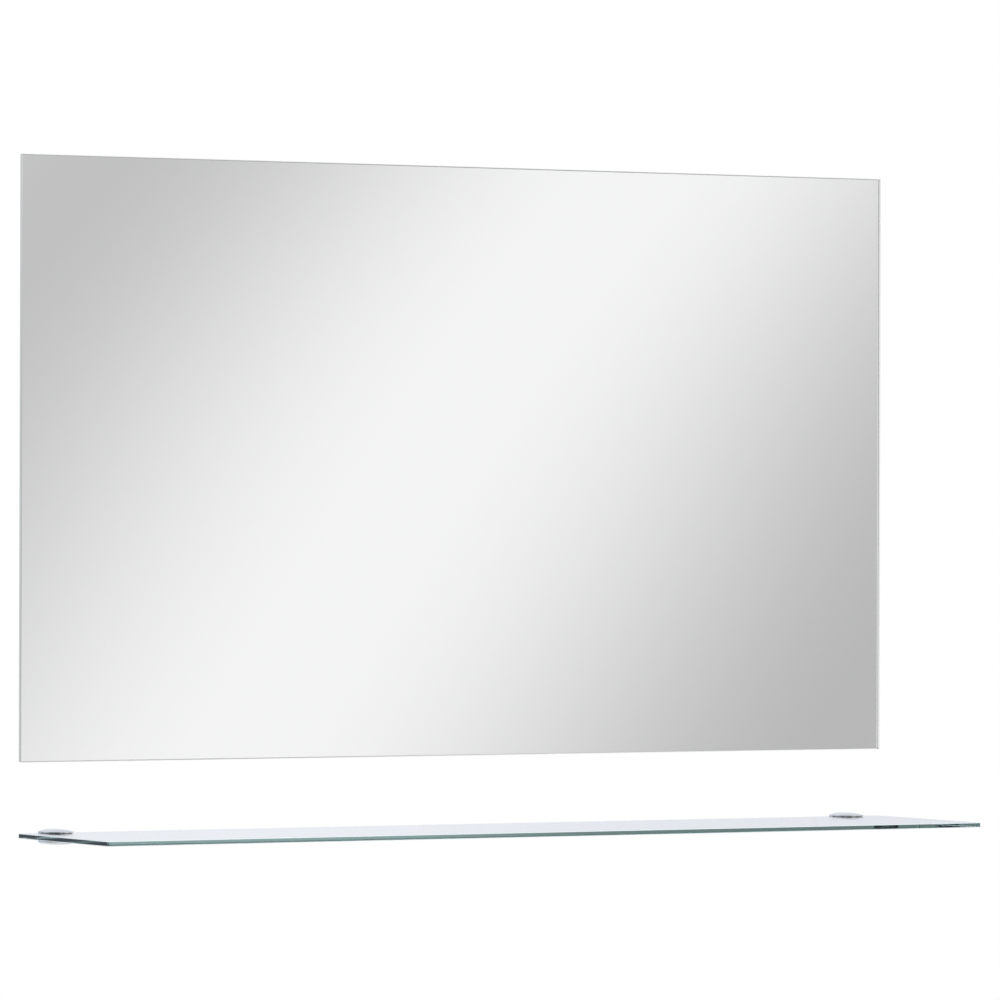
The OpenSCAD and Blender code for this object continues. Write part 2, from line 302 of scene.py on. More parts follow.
def lofted(rings, closed=False):
    """A mesh through rings of equal point counts: capped at both ends, or closed into a loop."""
    mesh = bmesh.new()
    rows = [[mesh.verts.new(point) for point in ring] for ring in rings]
    pairs = list(zip(rows, rows[1:])) + ([(rows[-1], rows[0])] if closed else [])
    for low, high in pairs:
        for i in range(len(low)):
            j = (i + 1) % len(low)
            mesh.faces.new((low[i], low[j], high[j], high[i]))
    if not closed:
        mesh.faces.new(rows[0])
        mesh.faces.new(rows[-1])
    bmesh.ops.remove_doubles(mesh, verts=mesh.verts, dist=WELD)
    bmesh.ops.recalc_face_normals(mesh, faces=mesh.faces)
    return mesh


def smoothed(made, angle):
    """Shades a piece smooth, but for its edges above an angle in degrees."""
    made.data.shade_smooth()
    made.data.set_sharp_from_angle(angle=math.radians(angle))


def piece(name, mesh, finish, move=(0, 0, 0)):
    """An object at the origin, with its place in its mesh."""
    mesh.transform(Matrix.Translation(move))
    data = bpy.data.meshes.new(name)
    mesh.to_mesh(data)
    mesh.free()
    made = bpy.data.objects.new(name, data)
    bpy.context.scene.collection.objects.link(made)
    data.materials.append(finish)
    smoothed(made, 30)
    return made


def settled(made):
    """Turns an object and its modifiers into a plain mesh."""
    bpy.context.view_layer.update()
    evaluated = made.evaluated_get(bpy.context.evaluated_depsgraph_get())
    data = bpy.data.meshes.new_from_object(evaluated)
    name = made.name
    finished = bpy.data.objects.new(name + " plain", data)
    bpy.data.objects.remove(made)
    finished.name = name
    bpy.context.scene.collection.objects.link(finished)
    return finished


def cut(made, *tools):
    """Cuts tools out of a piece, then removes them."""
    for tool in tools:
        boolean = made.modifiers.new("cut", "BOOLEAN")
        boolean.operation = "DIFFERENCE"
        boolean.solver = "EXACT"
        boolean.object = tool
    finished = settled(made)
    for tool in tools:
        bpy.data.objects.remove(tool)
    return finished


def flattened(made):
    """Keeps a piece's flat faces flat in the shading."""
    made.modifiers.new("flat faces", "WEIGHTED_NORMAL").keep_sharp = True
    return settled(made)


def softened(made, width, angle=40):
    """Rounds a piece's edges above an angle in degrees."""
    edge = made.modifiers.new("eased edges", "BEVEL")
    edge.width = width
    edge.segments = 2
    edge.limit_method = "ANGLE"
    edge.angle_limit = math.radians(angle)
    return flattened(made)


def turned(name, profile, finish, move, axis="Z"):
    """A body of revolution from its half profile of radius and height, both ends on the axis."""
    rings = []
    for radius, height in profile:
        radius = max(radius, AXIS_GAP)
        rings.append([(radius * math.cos(a), radius * math.sin(a), height)
                      for a in (2 * math.pi * i / TURN_STEPS for i in range(TURN_STEPS))])
    mesh = lofted(rings)
    if axis == "Y":
        mesh.transform(Matrix.Rotation(math.radians(90), 4, "X"))
    return piece(name, mesh, finish, move)


def finish_node(name, finish):
    """Gives a carried-over CAD node its finish."""
    node = NODES[name]
    if not node.material_slots:
        node.data.materials.append(finish)
    for slot in node.material_slots:
        slot.material = finish


def on_part(made, body, slot, *nodes):
    """Rides a piece on a body, in place of the CAD nodes that it stands for."""
    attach(made, body)
    if nodes:
        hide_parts(*nodes)


def rim_rings(box, corner, section, axis):
    """Rings round the outline of a sheet whose thickness lies along an axis, one for each
    (distance in from the rim, distance from the sheet's first face) of a section."""
    low, high = box
    middle = (low + high) / 2
    across, up = [i for i in range(3) if i != axis]
    rings = []
    for inset, level in section:
        width = high[across] - low[across] - 2 * inset
        height = high[up] - low[up] - 2 * inset
        ring = []
        for offset_across, offset_up in round_rect(width, height, corner - inset):
            point = [low[axis] + level] * 3
            point[across] = middle[across] + offset_across
            point[up] = middle[up] + offset_up
            ring.append(point)
        rings.append(ring)
    return rings


# ---- Growing shapes ----

def growth_tree(name, **sizes):
    """An empty geometry node tree with its named inputs, and their sockets inside it."""
    tree = bpy.data.node_groups.new(name, "GeometryNodeTree")
    for label, kind in sizes.items():
        tree.interface.new_socket(
            label.replace("_", " "), in_out="INPUT", socket_type="NodeSocket" + kind)
    tree.interface.new_socket("Geometry", in_out="OUTPUT", socket_type="NodeSocketGeometry")
    return tree, add(tree, "NodeGroupInput").outputs


def growth_end(tree, geometry, finish):
    """Ends a tree: instances are made real, and all of it gets its finish."""
    real = add(tree, "GeometryNodeRealizeInstances", Geometry=geometry)
    coated = add(tree, "GeometryNodeSetMaterial", Geometry=real.outputs[0], Material=finish)
    add(tree, "NodeGroupOutput", Geometry=coated.outputs[0])


def grown(name, tree, **sizes):
    """An object that a geometry node tree makes from nothing but its named sizes."""
    made = bpy.data.objects.new(name, bpy.data.meshes.new(name))
    bpy.context.scene.collection.objects.link(made)
    growth = made.modifiers.new("growth", "NODES")
    growth.node_group = tree
    for item in tree.interface.items_tree:
        if item.in_out == "INPUT":
            growth[item.identifier] = sizes[item.name.replace(" ", "_")]
    return settled(made)


# ---- Mirror ----

MIRROR_ARRIS = 0.8 * MM
MIRROR_CORNER = 1.6 * MM
BACK_ARRIS = 0.06 * MM
GROUND_SKIN = 0.05 * MM
SKIN_BACK = 0.04 * MM
SILVER_BITE = 0.03 * MM


def mirror_glass():
    """The glass sheet, drawn in by a thin ground skin that goes round its end faces. A hair of
    air behind the skin lets the glass mirror its own end faces from inside."""
    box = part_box("mirror_glass")
    depth = box[1].y - box[0].y
    back = depth - BACK_ARRIS
    sheet_section = [(MIRROR_ARRIS, 0), (GROUND_SKIN, MIRROR_ARRIS - GROUND_SKIN),
                     (GROUND_SKIN, back), (BACK_ARRIS + GROUND_SKIN, depth)]
    sheet = piece("mirror_sheet", lofted(
        rim_rings(box, MIRROR_CORNER, sheet_section, THROUGH_Y)), mirror_float_glass)
    on_part(sheet, "mirror", "mirror_sheet", "mirror_glass")
    skin_section = [(SKIN_BACK, MIRROR_ARRIS), (0, MIRROR_ARRIS), (0, back), (SKIN_BACK, back)]
    skin = piece("mirror_ground_rim", lofted(
        rim_rings(box, MIRROR_CORNER, skin_section, THROUGH_Y), closed=True), ground_edge)
    on_part(skin, "mirror", "mirror_sheet")


def silver_coat():
    """The silver, let a hair into the glass, so that no air gap or shared face lies between them,
    and carried out to the glass's back arris."""
    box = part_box("silver_layer")
    thick = box[1].y - box[0].y
    rim = BACK_ARRIS + GROUND_SKIN - MIRROR_ARRIS
    section = [(rim, -SILVER_BITE), (rim, 0), (0, thick + SILVER_BITE)]
    coat = piece("silver_coat", lofted(
        rim_rings(box, MIRROR_CORNER - MIRROR_ARRIS, section, THROUGH_Y)), silver)
    on_part(coat, "mirror", "silvering", "silver_layer")


mirror_glass()
silver_coat()
finish_node("backing_paint", back_paint)


# ---- Shelf ----

SHELF_ARRIS = 0.6 * MM
SHELF_CORNER = 2 * MM
STRIP_GAP = 0.03 * MM
STRIP_DEPTH = 0.1 * MM


def shelf_arrises():
    """The shelf's arrises are ground, and their pale bluish-white tone is partly a painted
    highlight; its edges are polished. Each ground strip is a little rounder than its facet and is
    let into the glass behind it."""
    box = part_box("shelf_glass")
    thick = box[1].z - box[0].z
    crest = SHELF_ARRIS / 2 - STRIP_GAP
    section = [(0, SHELF_ARRIS), (crest, crest), (SHELF_ARRIS, 0), (SHELF_ARRIS, STRIP_DEPTH),
               (STRIP_DEPTH, SHELF_ARRIS)]
    for name, level, inward in (("lower", 0, 1), ("upper", thick, -1)):
        turned_section = [(inset, level + inward * up) for inset, up in section]
        strip = piece("shelf_" + name + "_arris", lofted(
            rim_rings(box, SHELF_CORNER, turned_section, THROUGH_Z), closed=True), ground_arris_painted_highlight)
        on_part(strip, "shelf", "clear_glass")


finish_node("shelf_glass", shelf_float_glass)
shelf_arrises()


# ---- Shelf clamps ----

CLAMP_WEB = 6 * MM
MOUTH_TOP = 3.4 * MM
MOUTH_FLOOR = -3.4 * MM
TOP_CROWN = 2.4 * MM
TOP_FLAT = 2 * MM
BOTTOM_CROWN = 2.8 * MM
BOTTOM_FLAT = 18 * MM
LIP_EASE = 0.3 * MM
NOSE_STEPS = 48
TOP_STEPS = 16
BOTTOM_STEPS = 12
WALL_HOLE_R = 2 * MM
COUNTERSINK_R = 3.4 * MM
COUNTERSINK_DEPTH = 1.4 * MM
RECESS_R = 5.4 * MM
RECESS_BELOW_PAD = 1.7 * MM
THREAD_HOLE_R = 2.58 * MM

PAD_SOCKET = 0.8 * MM
PAD_EDGE = 0.3 * MM
PAD_EDGE_STEPS = 4

THREAD_PITCH = 0.8 * MM
THREAD_DEPTH = 0.43 * MM
THREAD_SIDES = 48
THREAD_RINGS = 80
SCREW_CHAMFER = 0.4 * MM
HEX_FLATS = 2.5 * MM
HEX_DEPTH = 1.8 * MM
HEX_TIP_DEPTH = 0.5 * MM
HEX_TIP_SHARE = 0.05


def quarter(run, rise, steps):
    """An edge from a jaw's side to its face: (distance in from the side, distance from the
    face) of each point, on a quarter of an oval."""
    return [(run * (1 - x), rise * (1 - y)) for x, y in arc(0, 0, 1, 0, 90, steps)]


def dome(run, rise, steps):
    """As quarter, but on a shallow part of a large circle, level where it meets the face."""
    radius = (run * run + rise * rise) / (2 * rise)
    start = math.degrees(math.acos(run / radius))
    return [(run - x, radius - y) for x, y in arc(0, 0, radius, start, 90, steps)]


def clamp_outline(half_width, reach, inset):
    """The D-shaped outline of a clamp seen from above, drawn in by a distance at its curved
    front and sides: back left corner, half-round nose, back right corner."""
    centre = reach - half_width
    nose = arc(0, -centre, half_width - inset, 180, 360, NOSE_STEPS)
    return [(inset - half_width, 0)] + nose + [(half_width - inset, 0)]


def clamp_body(side):
    """A one-piece clamp: a D-shaped block with rounded rims, its mouth, pad recess, threaded
    hole and countersunk wall screw hole cut out."""
    name = side + "_clamp_body"
    low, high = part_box(name)
    half = (high.x - low.x) / 2
    reach = -low.y
    levels = [(inset, low.z + up)
              for inset, up in reversed(quarter(half - BOTTOM_FLAT / 2, BOTTOM_CROWN, BOTTOM_STEPS))]
    levels += [(inset, high.z - down)
               for inset, down in dome(half - TOP_FLAT / 2, TOP_CROWN, TOP_STEPS)]
    rings = [[(x, y, z) for x, y in clamp_outline(half, reach, inset)] for inset, z in levels]
    block = piece(name + "_chrome", lofted(rings), chrome_casting)
    deep = 2 * reach
    mouth = bmesh.new()
    bmesh.ops.create_cube(mouth, size=1.0, matrix=Matrix.LocRotScale(
        Vector((0, -CLAMP_WEB - deep / 2, 0)), None,
        Vector((4 * half, deep, MOUTH_TOP - MOUTH_FLOOR))))
    screw_y = -(CLAMP_WEB + reach) / 2
    recess_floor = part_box(side + "_lower_pad")[0].z - RECESS_BELOW_PAD
    recess = [(0, recess_floor), (RECESS_R, recess_floor), (RECESS_R, 0), (0, 0)]
    thread = [(0, low.z - MM), (THREAD_HOLE_R, low.z - MM), (THREAD_HOLE_R, 0), (0, 0)]
    past_web = CLAMP_WEB + MM
    wall_screw = [(0, -MM), (WALL_HOLE_R, -MM), (WALL_HOLE_R, CLAMP_WEB - COUNTERSINK_DEPTH),
                  (COUNTERSINK_R, CLAMP_WEB), (COUNTERSINK_R, past_web), (0, past_web)]
    block = cut(
        block,
        piece("mouth tool", mouth, chrome_casting),
        turned("recess tool", recess, chrome_casting, (0, screw_y, 0)),
        turned("thread tool", thread, chrome_casting, (0, screw_y, 0)),
        turned("wall screw tool", wall_screw, chrome_casting, (0, 0, 0), axis="Y"))
    block = softened(block, LIP_EASE, 50)
    block.data.transform(Matrix.Translation(((low.x + high.x) / 2, 0, 0)))
    on_part(block, "wall_side", "chrome_casting", name)


def lower_pad(side):
    """The nylon pressure disc under the glass, with a socket for the set screw's tip."""
    name = side + "_lower_pad"
    low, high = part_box(name)
    radius = (high.x - low.x) / 2
    thick = high.z - low.z
    profile = [(0, PAD_SOCKET), (THREAD_HOLE_R, PAD_SOCKET), (THREAD_HOLE_R, 0)]
    profile += arc(radius - PAD_EDGE, PAD_EDGE, PAD_EDGE, 270, 360, PAD_EDGE_STEPS)
    profile += arc(radius - PAD_EDGE, thick - PAD_EDGE, PAD_EDGE, 0, 90, PAD_EDGE_STEPS)
    profile += [(0, thick)]
    disc = turned(name + "_disc", profile, nylon_pad,
                  ((low.x + high.x) / 2, (low.y + high.y) / 2, low.z))
    on_part(disc, side + "_pad", "nylon_pad", name)


def thread_tree():
    """Geometry nodes for a threaded rod along Z from the origin: a fine tube whose wall moves
    in and out with a helix, drawn in at both ends by a chamfer."""
    tree, given = growth_tree("threaded rod", Length="Float", Radius="Float", Pitch="Float",
                              Depth="Float", Chamfer="Float", Finish="Material")
    tube = add(tree, "GeometryNodeMeshCylinder", settings={"fill_type": "NGON"},
               Vertices=THREAD_SIDES, Side_Segments=THREAD_RINGS, Radius=given["Radius"],
               Depth=given["Length"])
    half = add(tree, "MULTIPLY", given["Length"], 0.5).outputs[0]
    lift = add(tree, "ShaderNodeCombineXYZ", Z=half)
    raised = add(tree, "GeometryNodeTransform", Geometry=tube.outputs["Mesh"],
                 Translation=lift.outputs[0])
    place = add(tree, "GeometryNodeInputPosition").outputs[0]
    parts = add(tree, "ShaderNodeSeparateXYZ", place).outputs
    angle = add(tree, "ARCTAN2", parts["Y"], parts["X"]).outputs[0]
    turn = add(tree, "DIVIDE", angle, 2 * math.pi).outputs[0]
    along = add(tree, "DIVIDE", parts["Z"], given["Pitch"]).outputs[0]
    ahead = add(tree, "SUBTRACT", along, turn).outputs[0]
    phase = add(tree, "FRACT", ahead).outputs[0]
    double = add(tree, "MULTIPLY", phase, 2.0).outputs[0]
    centred = add(tree, "SUBTRACT", double, 1.0).outputs[0]
    wave = add(tree, "ABSOLUTE", centred).outputs[0]
    groove = add(tree, "MULTIPLY", given["Depth"], wave).outputs[0]
    crest = add(tree, "SUBTRACT", given["Radius"], groove).outputs[0]
    from_top = add(tree, "SUBTRACT", given["Length"], parts["Z"]).outputs[0]
    end_gap = add(tree, "MINIMUM", parts["Z"], from_top).outputs[0]
    end_radius = add(tree, "SUBTRACT", given["Radius"], given["Chamfer"]).outputs[0]
    cone = add(tree, "ADD", end_radius, end_gap).outputs[0]
    least = add(tree, "MINIMUM", crest, cone).outputs[0]
    wall = add(tree, "DIVIDE", least, given["Radius"]).outputs[0]
    x = add(tree, "MULTIPLY", parts["X"], wall).outputs[0]
    y = add(tree, "MULTIPLY", parts["Y"], wall).outputs[0]
    waved = add(tree, "ShaderNodeCombineXYZ", x, y, parts["Z"])
    moved = add(tree, "GeometryNodeSetPosition", Geometry=raised.outputs[0],
                Position=waved.outputs[0])
    growth_end(tree, moved.outputs[0], given["Finish"])
    return tree


threaded_rod = thread_tree()


def clamp_screw(side):
    """A socket set screw: a threaded rod with a hex socket in its lower end."""
    name = side + "_clamp_screw"
    low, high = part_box(name)
    rod = grown(name + "_threaded", threaded_rod, Length=high.z - low.z,
                Radius=(high.x - low.x) / 2, Pitch=THREAD_PITCH, Depth=THREAD_DEPTH,
                Chamfer=SCREW_CHAMFER, Finish=screw_steel)
    corner = HEX_FLATS / 2 / math.cos(math.radians(30))
    hexagon = [(corner * math.cos(a), corner * math.sin(a))
               for a in (math.radians(60 * i) for i in range(6))]
    rings = [[(x * share, y * share, z) for x, y in hexagon]
             for share, z in ((1, -MM), (1, HEX_DEPTH),
                              (HEX_TIP_SHARE, HEX_DEPTH + HEX_TIP_DEPTH))]
    rod = cut(rod, piece("hex tool", lofted(rings), screw_steel))
    rod.data.transform(Matrix.Translation(
        ((low.x + high.x) / 2, (low.y + high.y) / 2, low.z)))
    smoothed(rod, 35)
    on_part(rod, side + "_screw", "screw_steel", name)


for side in SIDES:
    clamp_body(side)
    lower_pad(side)
    clamp_screw(side)
    finish_node(side + "_upper_pad", clear_pad)


# ---- Mirror hanging ----

PLATE_SIZE = 80 * MM
PLATE_CORNER = 6 * MM
PLATE_T = 1 * MM
PLATE_EDGE = 0.2 * MM
BRIDGE_W = 50 * MM
BRIDGE_H = 36 * MM
BRIDGE_SLOPE = 4 * MM
SLOT_W = 24 * MM
SLOT_H = 14 * MM
SLOT_CORNER = 1 * MM
BEND_R = 1.2 * MM
PLATE_BEND_STEPS = 5

HOOK_T = 1.5 * MM
LIP_H = 6 * MM
HOOK_CORNER = 4 * MM
LIP_CORNER = 2 * MM
HOOK_BEND = 0.4 * MM
HOOK_EDGE = 0.15 * MM
HOOK_HOLE_R = 2.25 * MM
HOOK_HOLE_UP = 24 * MM
HOOK_STEP = 0.25 * MM
HOOK_BEND_STEPS = 8

BUMPER_ROUND = 1.5 * MM
BUMPER_EDGE = 0.3 * MM
BUMPER_STEPS = 8
DIMPLE_R = 5.3 * MM
DIMPLE_FLOOR_R = 4.5 * MM
DIMPLE_DEPTH = 0.5 * MM
DIMPLE_STEP = (5 * MM, 0.35 * MM)


def hanger_plate(side):
    """A pressed plate: a square flange, a shallow rectangular bridge raised towards the wall with
    rounded bends, and a slot through the bridge. One closed profile is swept round its outlines.
    Each ring is a width, a height, a corner radius and a distance out from the wall."""
    name = side + "_hanger_plate"
    low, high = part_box(name)
    face = -high.y
    flange_back = -low.y - PLATE_T
    rise = flange_back - face
    slope = math.atan2(rise, BRIDGE_SLOPE)
    run = BEND_R * math.tan(slope / 2)
    steep = math.degrees(slope)
    bends = arc(-run, BEND_R, BEND_R, 270, 270 + steep, PLATE_BEND_STEPS)
    bends += arc(BRIDGE_SLOPE + run, rise - BEND_R, BEND_R, 90 + steep, 90, PLATE_BEND_STEPS)
    back = [(BRIDGE_W - 2 * inset, BRIDGE_H - 2 * inset, PLATE_CORNER, flange_back - up)
            for inset, up in bends]
    front = [(width, height, corner, out + PLATE_T) for width, height, corner, out in back[::-1]]
    edge = [(PLATE_EDGE, PLATE_T), (0, PLATE_T - PLATE_EDGE), (0, PLATE_EDGE), (PLATE_EDGE, 0)]
    rim = [(PLATE_SIZE - 2 * inset, PLATE_SIZE - 2 * inset, PLATE_CORNER - inset,
            flange_back + out) for inset, out in edge]
    slot = [(SLOT_W + 2 * inset, SLOT_H + 2 * inset, SLOT_CORNER + inset, face + out)
            for inset, out in edge[::-1]]
    middle_x, middle_z = (low.x + high.x) / 2, (low.z + high.z) / 2
    rings = [[(x + middle_x, -out, z + middle_z) for x, z in round_rect(width, height, corner)]
             for width, height, corner, out in rim + back + slot + front]
    plate = flattened(piece(name + "_pressed", lofted(rings, closed=True), zinc_steel))
    on_part(plate, "mirror", "zinc_steel", name)


def rounded_off(tree, mark, corner):
    """How much a round corner takes off a strip's half width, at the distance from its end that
    a named mark holds."""
    gone = add(tree, "GeometryNodeInputNamedAttribute", settings={"data_type": "FLOAT"},
               Name=mark).outputs[0]
    left = add(tree, "SUBTRACT", corner, gone).outputs[0]
    short = add(tree, "MAXIMUM", left, 0.0).outputs[0]
    corner_squared = add(tree, "POWER", corner, 2.0).outputs[0]
    short_squared = add(tree, "POWER", short, 2.0).outputs[0]
    reach_squared = add(tree, "SUBTRACT", corner_squared, short_squared).outputs[0]
    reach = add(tree, "SQRT", reach_squared).outputs[0]
    return add(tree, "SUBTRACT", corner, reach).outputs[0]


def strip_tree():
    """Geometry nodes that bend a flat strip along a path: the path's corners are rounded, a
    rectangle of the strip's width and thickness follows it, and the strip's corners at the
    path's start and end are rounded off."""
    tree, given = growth_tree("bent strip", Path="Object", Width="Float", Thickness="Float",
                              Bend_Radius="Float", Start_Corner="Float", End_Corner="Float",
                              Step="Float", Finish="Material")
    path = add(tree, "GeometryNodeObjectInfo", Object=given["Path"])
    bent = add(tree, "GeometryNodeFilletCurve", settings={"mode": "POLY"},
               Curve=path.outputs["Geometry"], Count=HOOK_BEND_STEPS, Radius=given["Bend Radius"])
    fine = add(tree, "GeometryNodeResampleCurve", settings={"mode": "LENGTH"},
               Curve=bent.outputs[0], Length=given["Step"])
    along = add(tree, "GeometryNodeSplineParameter").outputs["Length"]
    total = add(tree, "GeometryNodeSplineLength").outputs["Length"]
    marked = fine
    for mark, gone in (("from start", along),
                       ("from end", add(tree, "SUBTRACT", total, along).outputs[0])):
        marked = add(tree, "GeometryNodeStoreNamedAttribute", settings={"data_type": "FLOAT"},
                     Geometry=marked.outputs[0], Name=mark, Value=gone)
    section = add(tree, "GeometryNodeCurvePrimitiveQuadrilateral", Width=given["Width"],
                  Height=given["Thickness"])
    strip = add(tree, "GeometryNodeCurveToMesh", Curve=marked.outputs[0],
                Profile_Curve=section.outputs[0], Fill_Caps=True)
    off = add(tree, "ADD", rounded_off(tree, "from start", given["Start Corner"]),
              rounded_off(tree, "from end", given["End Corner"])).outputs[0]
    half_width = add(tree, "DIVIDE", given["Width"], 2.0).outputs[0]
    share_off = add(tree, "DIVIDE", off, half_width).outputs[0]
    share = add(tree, "SUBTRACT", 1.0, share_off).outputs[0]
    place = add(tree, "GeometryNodeInputPosition").outputs[0]
    parts = add(tree, "ShaderNodeSeparateXYZ", place).outputs
    x = add(tree, "MULTIPLY", parts["X"], share).outputs[0]
    narrow = add(tree, "ShaderNodeCombineXYZ", x, parts["Y"], parts["Z"])
    shaped = add(tree, "GeometryNodeSetPosition", Geometry=strip.outputs[0],
                 Position=narrow.outputs[0])
    growth_end(tree, shaped.outputs[0], given["Finish"])
    return tree


bent_strip = strip_tree()


def wall_hook(side):
    """A J-shaped hook bent from strip: back plate, seat and upturned lip, with round upper
    corners and a screw hole."""
    name = side + "_wall_hook"
    low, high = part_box(name)
    middle = HOOK_T / 2
    seat = low.z + HOOK_T
    points = [(0, -middle, high.z), (0, -middle, low.z + middle),
              (0, low.y + middle, low.z + middle), (0, low.y + middle, seat + LIP_H)]
    curve = bpy.data.curves.new("hook path", "CURVE")
    curve.dimensions = "3D"
    spline = curve.splines.new("POLY")
    spline.points.add(len(points) - 1)
    for spot, place in zip(spline.points, points):
        spot.co = (*place, 1)
    path = bpy.data.objects.new("hook path", curve)
    bpy.context.scene.collection.objects.link(path)
    hook = grown(name + "_strip", bent_strip, Path=path, Width=high.x - low.x,
                 Thickness=HOOK_T, Bend_Radius=HOOK_BEND + middle, Start_Corner=HOOK_CORNER,
                 End_Corner=LIP_CORNER, Step=HOOK_STEP, Finish=zinc_steel)
    bpy.data.objects.remove(path)
    drill = [(0, -MM), (HOOK_HOLE_R, -MM), (HOOK_HOLE_R, 2 * HOOK_T), (0, 2 * HOOK_T)]
    hole = turned("hole tool", drill, zinc_steel, (0, 0, seat + HOOK_HOLE_UP), axis="Y")
    hook = softened(cut(hook, hole), HOOK_EDGE)
    hook.data.transform(Matrix.Translation(((low.x + high.x) / 2, 0, 0)))
    on_part(hook, "wall_side", "zinc_steel", name)


def bumper(side):
    """A moulded rubber button: a domed rim against the wall, and inside it a shallow dimple with
    a sloping wall."""
    name = side + "_bumper"
    low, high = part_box(name)
    radius = (high.x - low.x) / 2
    thick = high.y - low.y
    dimple = [(0, DIMPLE_DEPTH), (DIMPLE_FLOOR_R, DIMPLE_DEPTH), DIMPLE_STEP, (DIMPLE_R, 0)]
    rim = arc(radius - BUMPER_ROUND, BUMPER_ROUND, BUMPER_ROUND, 270, 360, BUMPER_STEPS)
    foot = [(radius, thick - BUMPER_EDGE), (radius - BUMPER_EDGE, thick), (0, thick)]
    button = turned(name + "_rubber", dimple + rim + foot, black_rubber,
                    ((low.x + high.x) / 2, 0, (low.z + high.z) / 2), axis="Y")
    on_part(button, "mirror", "black_rubber", name)


for side in SIDES:
    hanger_plate(side)
    wall_hook(side)
    bumper(side)
    finish_node(side + "_hanger_tape", foam_tape)


# ---- Studio ----

WORLD_LEVEL = 0.6
STAGE_R = 2.2
FLOOR_Z = -0.9
FLOOR_R = 2.0
FLOOR_FADE = (0.5 * FLOOR_R, 0.98 * FLOOR_R)

# Where the backdrop's light and dark bands lie, as shares of a full turn that starts behind the
# object, and their tones. They lean sideways by BAND_LEAN for each metre up, and above
# BAND_CURVE_FROM they curve away as well.
BAND_LEAN = 0.6
BAND_CURVE = 0.45
BAND_CURVE_FROM = 0.37
BAND_STOPS = [
    (0.0, "#aaaaaa"), (0.046, "#a8a8a8"), (0.11, "#eeeeee"), (0.17, "#bcbcbc"),
    (0.23, "#eeeeee"), (0.29, "#b8b8b8"), (0.335, "#f2f2f2"), (0.372, "#c4c4c4"),
    (0.41, "#f0f0f0"), (0.45, "#f4f4f4"), (0.5045, "#c8c8c8"), (0.557, "#fdfdfd"),
    (0.562, "#fdfdfd"), (0.6158, "#bebebe"), (0.668, "#f4f4f4"), (0.72, "#bababa"),
    (0.77, "#f0f0f0"), (0.825, "#e0e0e0"), (0.872, "#aeaeae"), (0.90, "#bcbcbc"),
    (0.93, "#f0f0f0"), (0.947, "#f0f0f0"), (0.985, "#b4b4b4"), (1.0, "#aaaaaa")]

# The plain back half, with a greyer patch to the left at the object's height, and the dark card.
# Each pair is where a soft edge starts and ends: heights and distances in metres from the
# object, or angles round it from straight in front, in radians.
BEHIND_FROM = (-0.3, 0.5)
BEHIND_RIGHT = "#edf0f7"
BEHIND_LEFT = "#bcc8d6"
BEHIND_LEFT_SIDE = (-1.2, 0.0)
BEHIND_LEFT_HEIGHT = (0.25, 0.6)
DARK_CARD = "#3c4652"
CARD_BOTTOM = (-0.42, -0.16)
CARD_TOP = (1.4, 2.0)
CARD_LEFT = (-2.5, -2.0)
CARD_RIGHT = (-0.35, 0.35)

LAMP_SIZE = 1.6


def studio_world():
    """A white room, which lights the object a little less brightly than it looks."""
    world = bpy.data.worlds.new("white studio")
    bpy.context.scene.world = world
    world.use_nodes = True
    tree = world.node_tree
    tree.nodes.clear()
    light = add(tree, "ShaderNodeLightPath").outputs
    direct = add(tree, "MAXIMUM", light["Is Camera Ray"], light["Is Glossy Ray"]).outputs[0]
    seen = add(tree, "MAXIMUM", direct, light["Is Transmission Ray"]).outputs[0]
    level = add(tree, "ShaderNodeMapRange", Value=seen, To_Min=WORLD_LEVEL, To_Max=1.0)
    sky = add(tree, "ShaderNodeBackground", Color=rgb("#ffffff"), Strength=level.outputs[0])
    add(tree, "ShaderNodeOutputWorld", Surface=sky.outputs[0])


def floor():
    """A round pale floor that takes the object's shadow. Its rim melts into the white background,
    and it isn't there from below."""
    circle = [(FLOOR_R * math.cos(a), FLOOR_R * math.sin(a), FLOOR_Z)
              for a in (math.radians(5 * i) for i in range(72))]
    mesh = bmesh.new()
    mesh.faces.new([mesh.verts.new(point) for point in circle])
    made, tree = blank("pale studio floor")
    place = add(tree, "ShaderNodeTexCoord").outputs["Object"]
    flat = add(tree, "ShaderNodeVectorMath", place, (1, 1, 0),
               settings={"operation": "MULTIPLY"}).outputs["Vector"]
    away = add(tree, "ShaderNodeVectorMath", flat,
               settings={"operation": "LENGTH"}).outputs["Value"]
    fade = between(tree, away, *FLOOR_FADE, 0.0, 1.0)
    below = add(tree, "ShaderNodeNewGeometry").outputs["Backfacing"]
    hidden = add(tree, "MAXIMUM", fade, below).outputs[0]
    paper = add(tree, "ShaderNodeBsdfPrincipled", Base_Color=rgb("#efefef"), Roughness=0.9,
                Specular_IOR_Level=0.0)
    clear = add(tree, "ShaderNodeBsdfTransparent")
    mix = add(tree, "ShaderNodeMixShader", hidden, paper.outputs[0], clear.outputs[0])
    add(tree, "ShaderNodeOutputMaterial", Surface=mix.outputs[0])
    piece("studio floor", mesh, made)


